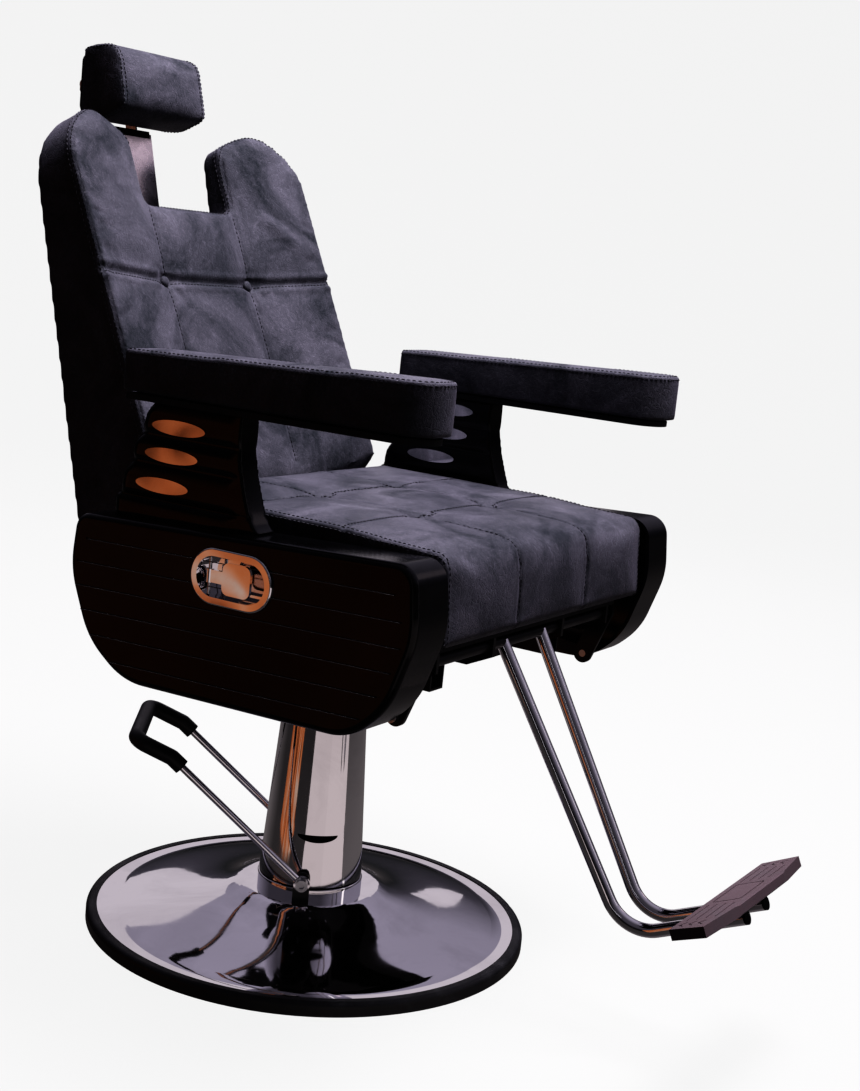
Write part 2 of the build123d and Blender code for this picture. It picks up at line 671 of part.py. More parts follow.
# ---------------------------------------------------------------- footrest
def make_footrest():
    bend, tip = (-484, 134), (-632, 201)
    top_x, low_x, tube_r = 50.0, 31.0, 8.5
    crank_y, crank_z = FOOT_Y + CRANK[0], FOOT_Z + CRANK[1]

    with BuildPart() as shaft:
        across(FOOT_Y, FOOT_Z, 8, -245, 245)
    save(shaft.part, "footrest_shaft")

    with BuildPart() as crank:
        bar(FOOT_Y, FOOT_Z, crank_y, crank_z, 13, -245, -239)
        across(FOOT_Y, FOOT_Z, 8, -250, -230, Mode.SUBTRACT)
        across(crank_y, crank_z, 5, -250, -230, Mode.SUBTRACT)
    save_both(crank.part, "footrest_cranks")

    with BuildPart() as tube:
        with BuildLine() as path:
            FilletPolyline((-top_x, FOOT_Y, FOOT_Z), (-low_x, *bend), (-low_x, *tip), radius=52)
        with BuildSketch(Plane(origin=path.line @ 0, z_dir=path.line % 0)):
            Circle(tube_r)
            Circle(tube_r - 1.8, mode=Mode.SUBTRACT)
        sweep(path=path.line)
        across(FOOT_Y, FOOT_Z, 8, -80, -20, Mode.SUBTRACT)
    save_pair(tube.part, "footrest_tube")

    run = Vector(0, tip[0] - bend[0], tip[1] - bend[1]).normalized()
    end = Vector(-low_x, *tip)
    with BuildPart() as cap:
        rod(tuple(end), tuple(end + run * 3), tube_r)
        rod(tuple(end - run * 10), tuple(end), tube_r - 1.8)
    save_both(cap.part, "tube_caps")

    slope = degrees(atan2(tip[1] - bend[1], bend[0] - tip[0]))
    lift = radians(slope)
    deck = Plane(origin=(0, -584.5, 207), x_dir=(1, 0, 0), z_dir=(0, sin(lift), cos(lift)))
    thick = 13.0
    with BuildPart() as footplate:
        with BuildSketch(deck.offset(-thick)):
            Polygon((-147, 0), (-156, -47), (-72, -57), (72, -57), (156, -47), (147, 0),
                    align=None)
        extrude(amount=thick)
        chamfer(footplate.faces().sort_by(Axis.Z)[-1].edges(), 1.2)
        # long grooves each side, a plain framed panel in the middle, chevrons at the ends
        with BuildSketch(deck.offset(-1.2)):
            for side in (-1, 1):
                for row in range(4):
                    with Locations((side * 84, -9 - 11.5 * row)):
                        Rectangle(66 - 2 * row, 1.6)
                for row in range(3):
                    with Locations((side * 133, -12 - 12 * row)):
                        Polygon((-8, -3), (0, 3), (8, -3), (8, 0), (0, 6), (-8, 0))
            with Locations((0, -27)):
                RectangleRounded(80, 38, 4)
                RectangleRounded(76, 34, 3, mode=Mode.SUBTRACT)
        extrude(amount=3, mode=Mode.SUBTRACT)
    save(footplate.part, "footplate")

    with BuildPart() as saddles:
        with BuildSketch(deck.offset(-thick - 3)):
            with Locations((-low_x, -27), (low_x, -27)):
                Rectangle(26, 34)
        extrude(amount=3)
    save(saddles.part, "footplate_saddles")


# ---------------------------------------------------------------- headrest
def make_headrest():
    half, depth, wall = 45.0, 42.0, 3.0
    pivot = (33, 117)
    with BuildPart() as guide:
        with BuildSketch(back_plane(0)):
            with Locations(((-32.3 + 48) / 2, -110)):
                Rectangle(48 + 32.3, 80)
        extrude(amount=52, both=True)
        with BuildSketch(back_plane(0)):
            with Locations((depth / 2, -110)):
                Rectangle(depth + 0.2, 90)
        extrude(amount=half + 0.1, both=True, mode=Mode.SUBTRACT)
    save(guide.part, "headrest_guide")

    # a chromed channel whose flanges end in two ears
    with BuildPart() as post:
        with BuildSketch(back_plane(0)):
            with Locations((depth / 2, -105)):
                Rectangle(depth, 310)
            with Locations((pivot[0], (50 + pivot[1]) / 2)):
                Rectangle(18, pivot[1] - 50)
            with Locations(pivot):
                Circle(9)
                Circle(4, mode=Mode.SUBTRACT)
        extrude(amount=half, both=True)
        with BuildSketch(back_plane(0)):
            with Locations((wall + 50, 0)):
                Rectangle(100, 600)
            with Locations((0, 44 + 100)):
                Rectangle(200, 200)
        extrude(amount=half - wall, both=True, mode=Mode.SUBTRACT)
    save(post.part, "headrest_post")

    with BuildPart() as cap:
        with BuildSketch(back_plane(0)):
            with Locations((10, 49)):
                Rectangle(20, 10)
        extrude(amount=half - wall - 0.1, both=True)
    save(cap.part, "post_cap")

    spot = back_point(*pivot)
    with BuildPart() as screws:
        for side in (-1, 1):
            across(*spot, 4, side * 34, side * half)
            across(*spot, 6.5, side * half, side * (half + 3))
    save(screws.part, "tilt_screws")

    rear_y, low_z = 434.0, 1056.0
    with BuildPart() as bracket:
        with BuildSketch(side_plane(-41.5)):
            Polygon((rear_y + 7, 1064), (rear_y + 7, 1136), (452, 1136), (477, 1110),
                    (477, 1098), (456, 1064), align=None)
        extrude(amount=83)
        across(*spot, 4 + FIT, -50, 50, Mode.SUBTRACT)
    save(bracket.part, "tilt_bracket")

    with BuildPart() as board:
        block((-78, 78), (rear_y, rear_y + 7), (low_z + 8, 1144))
        fillet(board.edges().filter_by(Axis.Y), 12)
    save(board.part, "headrest_board")

    with BuildPart() as cushion:
        with BuildSketch(side_plane(-88)):
            with BuildLine():
                FilletPolyline((rear_y, low_z), (rear_y, 1153), (373, 1160), (351, 1076),
                               (394, low_z), radius=(6, 14, 26, 12, 26), close=True)
            make_face()
        extrude(amount=176)
        fillet(cushion.faces().sort_by(Axis.X)[0].edges(), 5)
        fillet(cushion.faces().sort_by(Axis.X)[-1].edges(), 5)
    save(cushion.part, "headrest_cushion")


make_base()
make_pedal()
make_column()
make_frame()
make_covers()
make_arms()
make_back()
make_strut()
make_links()
make_footrest()
make_headrest()
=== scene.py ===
import json
import math
import bmesh
import bpy
import numpy as np
from mathutils import Matrix, Vector
from mathutils.bvhtree import BVHTree


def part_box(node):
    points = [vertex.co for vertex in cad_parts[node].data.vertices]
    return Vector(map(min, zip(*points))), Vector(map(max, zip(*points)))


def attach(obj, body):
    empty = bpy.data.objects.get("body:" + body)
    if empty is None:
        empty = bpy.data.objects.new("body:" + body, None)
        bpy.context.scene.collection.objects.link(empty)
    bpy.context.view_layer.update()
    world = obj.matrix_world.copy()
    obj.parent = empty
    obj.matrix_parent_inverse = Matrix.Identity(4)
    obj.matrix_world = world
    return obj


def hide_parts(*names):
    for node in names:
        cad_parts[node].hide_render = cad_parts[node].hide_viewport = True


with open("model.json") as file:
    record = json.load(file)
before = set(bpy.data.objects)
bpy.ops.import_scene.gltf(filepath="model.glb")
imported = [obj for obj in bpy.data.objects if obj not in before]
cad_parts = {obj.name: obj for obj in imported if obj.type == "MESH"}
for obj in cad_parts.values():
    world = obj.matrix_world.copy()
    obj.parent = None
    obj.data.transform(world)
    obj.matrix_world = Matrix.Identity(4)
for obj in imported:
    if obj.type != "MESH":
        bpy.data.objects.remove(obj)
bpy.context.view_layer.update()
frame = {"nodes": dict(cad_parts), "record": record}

MM = 0.001
RAY_START, RAY_REACH = 0.15, 0.4
rng = np.random.default_rng(7)


# ------------------------------------------------------------------ shader helpers
class Shader:
    """A Principled material under construction."""

    def __init__(self, name, **values):
        self.material = bpy.data.materials.new(name)
        self.material.use_nodes = True
        self.tree = self.material.node_tree
        self.shader = self.tree.nodes["Principled BSDF"]
        for socket, value in values.items():
            self.shader.inputs[socket.replace("_", " ")].default_value = value
        self.coords = self.node("ShaderNodeTexCoord").outputs["Object"]

    def node(self, kind, links=None, **values):
        made = self.tree.nodes.new(kind)
        for socket, value in values.items():
            name = socket.replace("_", " ")
            if name in made.inputs:
                made.inputs[name].default_value = value
            else:
                setattr(made, socket, value)
        for socket, source in (links or {}).items():
            self.tree.links.new(source, made.inputs[socket])
        return made

    def noise(self, scale, detail=4.0, rough=0.55, distortion=0.0, vector=None, out="Fac"):
        made = self.node("ShaderNodeTexNoise", {"Vector": vector or self.coords}, Scale=scale,
                         Detail=detail, Roughness=rough, Distortion=distortion)
        return made.outputs[out]

    def voronoi(self, scale, feature="DISTANCE_TO_EDGE", vector=None):
        made = self.node("ShaderNodeTexVoronoi", {"Vector": vector or self.coords},
                         feature=feature, Scale=scale)
        return made.outputs["Distance"]

    def warped(self, scale, amount):
        """Object coordinates pushed about by noise."""
        shift = self.node("ShaderNodeVectorMath", {0: self.noise(scale, 3.0, out="Color")},
                          operation="SCALE", Scale=amount).outputs[0]
        return self.node("ShaderNodeVectorMath", {0: self.coords, 1: shift},
                         operation="ADD").outputs[0]

    def spread(self, source, low, high, to_low=0.0, to_high=1.0):
        made = self.node("ShaderNodeMapRange", {"Value": source})
        for socket, value in (("From Min", low), ("From Max", high),
                              ("To Min", to_low), ("To Max", to_high)):
            made.inputs[socket].default_value = value
        return made.outputs["Result"]

    def math(self, operation, a, b):
        made = self.node("ShaderNodeMath", operation=operation)
        for slot, value in ((0, a), (1, b)):
            if isinstance(value, (int, float)):
                made.inputs[slot].default_value = value
            else:
                self.tree.links.new(value, made.inputs[slot])
        return made.outputs[0]

    def mixed(self, factor, first, second):
        made = self.node("ShaderNodeMix", data_type="RGBA")
        self.tree.links.new(factor, made.inputs["Factor"])
        for slot, value in ((6, first), (7, second)):
            if isinstance(value, tuple):
                made.inputs[slot].default_value = (*value, 1.0)
            else:
                self.tree.links.new(value, made.inputs[slot])
        return made.outputs[2]

    def colour(self, source):
        self.tree.links.new(source, self.shader.inputs["Base Color"])

    def roughness(self, source):
        self.tree.links.new(source, self.shader.inputs["Roughness"])

    def bump(self, height, distance, strength=1.0):
        made = self.node("ShaderNodeBump", {"Height": height}, Strength=strength,
                         Distance=distance)
        self.tree.links.new(made.outputs["Normal"], self.shader.inputs["Normal"])


def leather(name, dark, light, rough_low, rough_high):
    """Aged imitation leather: cloudy sheen, wispy crackle and a fine pebble grain."""
    s = Shader(name, IOR=1.45, Specular_IOR_Level=0.34, Sheen_Weight=0.06,
               Sheen_Roughness=0.4, Sheen_Tint=(0.78, 0.72, 0.95, 1.0))
    clouds = s.spread(s.noise(9.0, 6.0, 0.65, 1.0), 0.36, 0.66)
    hairs = s.spread(s.noise(60.0, 9.0, 0.78, 3.2), 0.50, 0.66)
    fine = s.spread(s.noise(160.0, 6.0, 0.7, 1.5), 0.42, 0.70)
    creases = s.voronoi(95.0, vector=s.warped(22.0, 0.045))
    web = s.spread(creases, 0.0, 0.07, 1.0, 0.0)
    pebble = s.spread(s.voronoi(560.0, vector=s.warped(90.0, 0.004)), 0.0, 0.35)
    wisps = s.math("MULTIPLY", hairs, s.spread(clouds, 0.0, 1.0, 0.35, 1.0))
    lit = s.math("ADD", s.math("MULTIPLY", clouds, 0.50),
                 s.math("ADD", s.math("MULTIPLY", wisps, 0.34), s.math("MULTIPLY", fine, 0.16)))
    s.colour(s.mixed(lit, dark, light))
    s.roughness(s.spread(s.math("ADD", s.math("MULTIPLY", clouds, 0.5),
                                s.math("MULTIPLY", wisps, 0.5)), 0.0, 1.0, rough_high, rough_low))
    height = s.math("SUBTRACT", s.math("MULTIPLY", pebble, 0.30), s.math("MULTIPLY", web, 0.55))
    height = s.math("ADD", height, s.math("MULTIPLY", wisps, 0.55))
    s.bump(height, 0.0006, 0.6)
    return s.material


def metal(name, base, rough_low, rough_high, smudge=30.0, wave=0.0, brushed=0.0, metallic=1.0,
          speckle=0.0):
    s = Shader(name, Metallic=metallic)
    marks = s.noise(smudge, 6.0, 0.62, 0.5)
    stain = s.spread(s.noise(smudge * 0.35, 5.0, 0.6, 0.8), 0.45, 0.75)
    darker = tuple(0.82 * c for c in base)
    s.colour(s.mixed(stain, base, darker))
    s.roughness(s.spread(marks, 0.3, 0.75, rough_low, rough_high))
    height = s.noise(7.0, 2.0)
    distance = 0.0008 * wave
    if brushed:
        height, distance = s.noise(900.0, 3.0, 0.7), 0.00012 * brushed
    if speckle:
        height, distance = s.noise(420.0, 4.0, 0.7), 0.0004 * speckle
    if distance:
        s.bump(height, distance, 0.5)
    return s.material


def plastic(name, base, rough_low, rough_high, grain, depth, wear=(0.05, 0.05, 0.055),
            shine=0.5):
    s = Shader(name, IOR=1.48, Specular_IOR_Level=shine)
    dust = s.spread(s.noise(24.0, 8.0, 0.7, 0.6), 0.50, 0.80)
    fine = s.noise(grain, 4.0, 0.65)
    s.colour(s.mixed(s.math("MULTIPLY", dust, 0.45), base, wear))
    s.roughness(s.spread(s.noise(16.0, 5.0), 0.3, 0.72, rough_low, rough_high))
    s.bump(fine, depth, 0.5)
    return s.material


FINISH = {
    "chrome": metal("chrome_plate", (0.88, 0.865, 0.885), 0.03, 0.08, 22.0, wave=0.4),
    "zinc_steel": metal("zinc_steel", (0.62, 0.62, 0.64), 0.24, 0.42, 40.0, brushed=1.0),
    "black_steel": plastic("black_steel", (0.012, 0.012, 0.013), 0.32, 0.5, 700.0, 0.0002),
    "cast_iron": metal("cast_iron", (0.10, 0.10, 0.10), 0.5, 0.75, 50.0, speckle=1.0,
                       metallic=0.8),
    "brass": metal("brass", (0.78, 0.60, 0.30), 0.16, 0.3, 45.0, brushed=0.6),
    "rubber": plastic("rubber", (0.008, 0.008, 0.009), 0.42, 0.62, 520.0, 0.0002),
    "black_plastic": plastic("black_plastic", (0.002, 0.002, 0.0025), 0.11, 0.22, 1100.0,
                             0.00006, wear=(0.006, 0.006, 0.008), shine=0.30),
    "satin_chrome": metal("satin_chrome", (0.86, 0.80, 0.84), 0.20, 0.34, 30.0, brushed=1.0),
    # the groove lip is grey where the cover plastic is near black: a painted highlight for the light
    # line along each groove lip
    "lip": plastic("groove_lip_painted_highlight", (0.17, 0.17, 0.18), 0.12, 0.3, 400.0, 0.0001),
    "lining": plastic("lining_cloth", (0.010, 0.010, 0.011), 0.75, 0.9, 1500.0, 0.0004),
    "tread_rubber": plastic("tread_rubber", (0.060, 0.043, 0.049), 0.30, 0.5, 640.0, 0.0003),
    "black_leather": leather("black_leather", (0.010, 0.012, 0.015), (0.092, 0.088, 0.110),
                             0.34, 0.54),
}
thread = plastic("stitch_thread", (0.006, 0.006, 0.008), 0.45, 0.6, 1800.0, 0.0001)
thread_light = plastic("stitch_thread_worn", (0.05, 0.05, 0.06), 0.40, 0.55, 1800.0, 0.0001)

# the post is brushed, and cloth covers the boards
SHOWN_AS = {"headrest_post": "satin_chrome", "plywood": "lining"}
for part in frame["record"]["subparts"]:
    holder = frame["nodes"][part["node"]]
    holder.data.materials.clear()
    slot_name = SHOWN_AS.get(part["material_slot"], part["material_slot"])
    slot_name = SHOWN_AS.get(part["node"], slot_name)
    holder.data.materials.append(FINISH[slot_name])


# ------------------------------------------------------------------ mesh helpers
def coordinates(mesh):
    co = np.empty(len(mesh.vertices) * 3)
    mesh.vertices.foreach_get("co", co)
    return co.reshape(-1, 3)


def set_coordinates(mesh, co):
    mesh.vertices.foreach_set("co", co.astype(np.float32).ravel())
    mesh.update()


def normals(mesh):
    out = np.empty(len(mesh.vertices) * 3)
    mesh.vertex_normals.foreach_get("vector", out)
    return out.reshape(-1, 3)


def new_object(name, mesh, finish):
    made = bpy.data.objects.new(name, mesh)
    bpy.context.scene.collection.objects.link(made)
    mesh.materials.clear()
    mesh.materials.append(finish)
    smooth(mesh)
    return made


def smooth(mesh):
    mesh.polygons.foreach_set("use_smooth", [True] * len(mesh.polygons))


def baked(obj):
    """The object's mesh with its modifiers applied."""
    graph = bpy.context.evaluated_depsgraph_get()
    graph.update()
    mesh = bpy.data.meshes.new_from_object(obj.evaluated_get(graph))
    obj.modifiers.clear()
    obj.data = mesh
    smooth(mesh)
    return mesh


def modified(obj, kind, **values):
    made = obj.modifiers.new(kind.lower(), kind)
    for key, value in values.items():
        setattr(made, key, value)
    return baked(obj)


def polyline(points, step=0.0025):
    """Points every step metres along straight runs through the given points."""
    out = []
    for a, b in zip(points[:-1], points[1:]):
        a, b = Vector(a), Vector(b)
        count = max(1, int((b - a).length / step))
        out += [a.lerp(b, i / count) for i in range(count)]
    return out + [Vector(points[-1])]


def curve(points, step=0.0025, closed=False):
    """A smooth curve (Catmull-Rom) through the given points, sampled every step metres."""
    pts = [Vector(p) for p in points]
    ends = [pts[-1], *pts, pts[0], pts[1]] if closed else [
        2 * pts[0] - pts[1], *pts, 2 * pts[-1] - pts[-2]]
    out = []
    for p0, p1, p2, p3 in zip(ends[:-3], ends[1:-2], ends[2:-1], ends[3:]):
        count = max(2, int((p2 - p1).length / step))
        for i in range(count):
            t = i / count
            out.append(0.5 * ((2 * p1) + (p2 - p0) * t + (2 * p0 - 5 * p1 + 4 * p2 - p3) * t * t
                              + (3 * p1 - p0 - 3 * p2 + p3) * t ** 3))
    return out + ([] if closed else [pts[-1]])


def tree_of(obj):
    mesh = obj.data
    mesh.calc_loop_triangles()
    return BVHTree.FromPolygons([v.co for v in mesh.vertices],
                                [tuple(t.vertices) for t in mesh.loop_triangles])


def laid_on(tree, guide, along=None):
    """Guide points moved onto a surface, each with its normal: along a direction, or nearest."""
    out = []
    for p in guide:
        if along is None:
            hit = tree.find_nearest(p)
        else:
            hit = tree.ray_cast(p - along * RAY_START, along, RAY_REACH)
        if hit[0] is not None:
            out.append((hit[0], hit[1]))
    return out


def grooved(obj, path, depth, width, lip=0.0):
    """Vertices near a path move inwards as a soft valley; lip raises its two shoulders."""
    mesh = obj.data
    co, nn = coordinates(mesh), normals(mesh)
    line = np.array([tuple(p) for p, _ in path])
    low, high = line.min(0) - 4 * width, line.max(0) + 4 * width
    near = np.nonzero(((co > low) & (co < high)).all(1))[0]
    gap = np.full(len(near), 1e9)
    for chunk in np.array_split(line, max(1, len(line) // 60)):
        gap = np.minimum(gap, np.linalg.norm(co[near][:, None] - chunk[None], axis=2).min(1))
    fall = depth * np.exp(-(gap / width) ** 2)
    rise = lip * np.exp(-((gap - 2.2 * width) / width) ** 2)
    co[near] += nn[near] * (rise - fall)[:, None]
    set_coordinates(mesh, co)


def ring_of(bm, centre, first, second, radius, sides):
    """Vertices on a circle about a centre, in the plane of two unit vectors."""
    return [bm.verts.new(centre + radius * (math.cos(a) * first + math.sin(a) * second))
            for a in (2 * math.pi * k / sides for k in range(sides))]


def skinned(bm, rings):
    """Quads between each ring and the next."""
    sides = len(rings[0])
    for a, b in zip(rings, rings[1:]):
        for k in range(sides):
            bm.faces.new((a[k], a[(k + 1) % sides], b[(k + 1) % sides], b[k]))


def finished(bm, name, finish):
    """The closed mesh as an object, its normals facing out."""
    mesh = bpy.data.meshes.new(name)
    bmesh.ops.recalc_face_normals(bm, faces=bm.faces)
    bm.to_mesh(mesh)
    bm.free()
    return new_object(name, mesh, finish)


def tube(name, line, facing, radius, finish, sides=8):
    """A round bead along a line on a surface that faces one way."""
    bm, rings = bmesh.new(), []
    for i, p in enumerate(line):
        along = (line[min(i + 1, len(line) - 1)] - line[max(i - 1, 0)]).normalized()
        side = along.cross(facing).normalized()
        rings.append(ring_of(bm, p, side, side.cross(along), radius, sides))
    skinned(bm, rings)
    bm.faces.new(rings[0])
    bm.faces.new(rings[-1][::-1])
    return finished(bm, name, finish)


STITCH_PROFILE = ((-0.5, 0.25), (-0.36, 0.85), (0.0, 1.0), (0.36, 0.85), (0.5, 0.25))


def stitches(name, paths, finish, pitch=0.0065, length=0.0042, radius=0.0007, lift=0.0002):
    """Rows of separate stitches: short, slightly arched capsules lying on the surface."""
    bm = bmesh.new()
    for path in paths:
        travelled, due = 0.0, pitch / 2
        for (p, n), (q, _) in zip(path, path[1:]):
            run = (q - p).length
            while run > 0 and travelled + run >= due:
                spot = p.lerp(q, (due - travelled) / run) + n * lift
                along = (q - p).normalized()
                side = along.cross(n).normalized()
                up = side.cross(along)
                rings = []
                for t, swell in STITCH_PROFILE:
                    middle = spot + along * (t * length) + up * (radius * 0.5 * (swell - 0.6))
                    rings.append(ring_of(bm, middle, side, up, radius * swell, 6))
                skinned(bm, rings)
                bm.faces.new(rings[0][::-1])
                bm.faces.new(rings[-1])
                due += pitch
            travelled += run
    return finished(bm, name, finish)


# ------------------------------------------------------------------ cushions
def inflated(obj, held, cap, pressure=4.0, frames=20):
    """Blows the closed mesh up with cloth pressure; held is how firmly each vertex stays."""
    rest = coordinates(obj.data)
    group = obj.vertex_groups.new(name="held")
    steps = np.round(held * 20).astype(int)
    for level in range(1, 21):
        group.add(np.nonzero(steps == level)[0].tolist(), level / 20, "REPLACE")
    cloth = obj.modifiers.new("cloth", "CLOTH")
    settings = cloth.settings
    settings.quality = 4
    settings.mass = 0.3
    settings.use_pressure = True
    settings.uniform_pressure_force = pressure
    settings.vertex_group_mass = "held"
    settings.effector_weights.gravity = 0
    settings.tension_stiffness = settings.compression_stiffness = 12
    settings.bending_stiffness = 0.6
    cloth.point_cache.frame_start, cloth.point_cache.frame_end = 1, frames
    for number in range(1, frames + 1):
        bpy.context.scene.frame_set(number)
    graph = bpy.context.evaluated_depsgraph_get()
    moved = coordinates(obj.evaluated_get(graph).data)
    obj.modifiers.clear()
    bpy.context.scene.frame_set(1)
    shift = moved - rest
    size = np.linalg.norm(shift, axis=1, keepdims=True)
    soft = cap * np.tanh(size / cap)
    obj.vertex_groups.clear()
    set_coordinates(obj.data, rest + shift / np.maximum(size, 1e-9) * soft)


def nearness(co, line, width):
    """1 on the line, falling to 0 over a width."""
    pts = np.array([tuple(p) for p in line])
    gap = np.full(len(co), 1e9)
    for chunk in np.array_split(pts, max(1, len(pts) // 60)):
        gap = np.minimum(gap, np.linalg.norm(co[:, None] - chunk[None], axis=2).min(1))
    return np.clip(1 - gap / width, 0, 1)


def cushion(name, node, seams, held_extra, voxel=0.006, shrink=0.003, cap=0.009,
            reach=0.014, rounding=3, grips=None):
    """A padded copy of a soft CAD node: remeshed, tied down along its seams, blown up, smoothed."""
    obj = new_object(name, frame["nodes"][node].data.copy(), FINISH["black_leather"])
    modified(obj, "REMESH", mode="VOXEL", voxel_size=voxel, use_smooth_shade=True)
    modified(obj, "SMOOTH", factor=0.5, iterations=rounding)
    co = coordinates(obj.data) - normals(obj.data) * shrink
    set_coordinates(obj.data, co)
    held = np.zeros(len(co))
    for seam, grip in zip(seams, grips or [1.0] * len(seams)):
        held = np.maximum(held, grip * nearness(co, seam, reach) ** 0.7)
    held = np.clip(np.maximum(held, held_extra(co)), 0, 1)
    inflated(obj, held, cap)
    modified(obj, "SMOOTH", factor=0.4, iterations=2)
    modified(obj, "SUBSURF", levels=1)
    return obj


def settle(obj, body, slot_name, *nodes):
    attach(obj, body)
    if nodes:
        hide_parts(*nodes)


def points(*rows):
    """Rows of millimetres as points in metres."""
    return [Vector(r) * MM for r in rows]


def rounded_edge(obj, y_face, z_face, y_way, z_way, radius, x_half):
    """Rounds the edge where a y face meets a z face; the ways point into the cushion."""
    co = coordinates(obj.data)
    dy = (y_face + y_way * radius - co[:, 1]) * y_way
    dz = (z_face + z_way * radius - co[:, 2]) * z_way
    reach = np.hypot(dy, dz)
    out = (dy > 0) & (dz > 0) & (reach > radius) & (np.abs(co[:, 0]) < x_half)
    scale = radius / np.maximum(reach, 1e-9)
    co[out, 1] = (y_face + y_way * radius - dy * scale * y_way)[out]
    co[out, 2] = (z_face + z_way * radius - dz * scale * z_way)[out]
    set_coordinates(obj.data, co)


def wrinkled(obj, spots, amount):
    """Short creases that run out from places where the leather is pulled in."""
    mesh = obj.data
    co, nn = coordinates(mesh), normals(mesh)
    for centre, direction, length, width in spots:
        rel = co - np.array(centre)
        along = rel @ np.array(direction)
        off = np.linalg.norm(rel - along[:, None] * np.array(direction), axis=1)
        t = np.clip(along / length, 0, 1)
        shape = np.exp(-(off / width) ** 2) * np.sin(math.pi * t) ** 0.7 * (along > 0)
        co -= nn * (amount * shape * (along < length))[:, None]
    set_coordinates(mesh, co)


# ---------------------------------------------------------------- seat
SEAM_X, SEAM_Y = (-0.090, 0.090), (-0.172, -0.025)
CROSSINGS = [(x, y) for x in SEAM_X for y in SEAM_Y]


def make_seat():
    low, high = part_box("seat_cushion")
    y_front, y_rear, z_bottom = low.y, high.y, low.z
    half = high.x
    top = high.z + 0.002
    columns = [[Vector((x, y_rear - 0.004, top)), Vector((x, y_front + 0.045, top - 0.008)),
                Vector((x, y_front + 0.012, top - 0.024)), Vector((x, y_front, top - 0.05)),
                Vector((x, y_front, z_bottom + 0.02)), Vector((x, y_front + 0.02, z_bottom))]
               for x in SEAM_X]
    rows = [[Vector((-half + 0.004, y, top)), Vector((half - 0.004, y, top))] for y in SEAM_Y]

    def held(co):
        low_part = np.clip((z_bottom + 0.016 - co[:, 2]) / 0.008, 0, 1)
        side = np.clip((np.abs(co[:, 0]) - half + 0.010) / 0.006, 0, 1) * 0.75
        rear = np.clip((co[:, 1] - y_rear + 0.010) / 0.006, 0, 1) * 0.7
        return np.maximum.reduce([low_part, side, rear])

    guides = [polyline(line, 0.006) for line in columns + rows]
    seat = cushion("seat_cushion_leather", "seat_cushion", guides, held, reach=0.016, cap=0.008,
                   grips=[0.4] * 4)
    rounded_edge(seat, y_front, z_bottom, 1, 1, 0.026, 1.0)
    rounded_edge(seat, y_front, top - 0.008, 1, -1, 0.044, 1.0)
    tree = tree_of(seat)
    seams = [laid_on(tree, polyline(line)) for line in columns + rows]
    for seam in seams:
        grooved(seat, seam, 0.0017, 0.0030, 0.0004)
    # the cover is drawn down where its seams cross
    co = coordinates(seat.data)
    for x, y in CROSSINGS:
        gap = np.hypot(co[:, 0] - x, co[:, 1] - y)
        co[:, 2] -= np.where(co[:, 2] > top - 0.04, 0.0055 * np.exp(-(gap / 0.024) ** 2), 0)
    set_coordinates(seat.data, co)
    # side seams: over the top edge, down the front corner and under
    run = ((y_rear - 0.003, top - 0.003), (y_front + 0.05, top - 0.010),
           (y_front + 0.015, top - 0.026), (y_front + 0.002, top - 0.055),
           (y_front + 0.001, z_bottom + 0.03), (y_front + 0.008, z_bottom + 0.008),
           (y_front + 0.03, z_bottom))
    edges = [[Vector((side * (half - 0.002), y, z)) for y, z in run] for side in (-1, 1)]
    spots = []
    for x, y in CROSSINGS:
        for _ in range(5):
            a = rng.uniform(0, 2 * math.pi)
            spots.append(((x, y, top - 0.01), (math.cos(a), math.sin(a), 0.0),
                          rng.uniform(0.02, 0.045), rng.uniform(0.0025, 0.004)))
    wrinkled(seat, spots, 0.0012)
    tree = tree_of(seat)
    piping = [laid_on(tree, curve(e)) for e in edges]
    for path in piping:
        grooved(seat, path, -0.0010, 0.0040)
    tree = tree_of(seat)
    lines = [laid_on(tree, polyline(line)) for line in columns + rows]
    inner = [laid_on(tree, [p + Vector((-math.copysign(0.007, p.x), 0, 0.002)) for p in curve(e)])
             for e in edges]
    outer = [laid_on(tree, [p + Vector((math.copysign(0.004, p.x), 0.0, -0.006)) for p in curve(e)])
             for e in edges]
    sewn = stitches("seat_stitches", lines + inner, thread)
    bright = stitches("seat_side_stitches", outer, thread_light)
    settle(seat, "seat", "black_leather", "seat_cushion")
    settle(sewn, "seat", "black_leather")
    settle(bright, "seat", "black_leather")


# ---------------------------------------------------------------- back
FRONT_TILT = math.radians(24.1)
FRONT_OUT = Vector((0, -math.cos(FRONT_TILT), math.sin(FRONT_TILT)))
FRONT_UP = Vector((0, math.sin(FRONT_TILT), math.cos(FRONT_TILT)))
FRONT_ORIGIN = Vector((0, 224.6, 865.8)) * MM
SUNK = 29.0
REAR_TILT = math.radians(14)
REAR_OUT = Vector((0, math.cos(REAR_TILT), -math.sin(REAR_TILT)))
REAR_Y, REAR_Z = 0.250, 0.512
BACK_OUTLINE = ((248, -262), (248, -120), (248, 20), (248, 135), (243, 168), (224, 197),
                (192, 217), (158, 226), (130, 222), (110, 210), (97, 190), (92, 165),
                (92, 122), (86, 109), (70, 108), (0, 108))


def front(x, s, n=0.0):
    """A point on the back's front, in millimetres across, up and outwards."""
    return FRONT_ORIGIN + (FRONT_UP * s + FRONT_OUT * n + Vector((x, 0, 0))) * MM


def face_depth(x):
    return -SUNK * min(1.0, max(0.0, (235 - abs(x)) / 145))


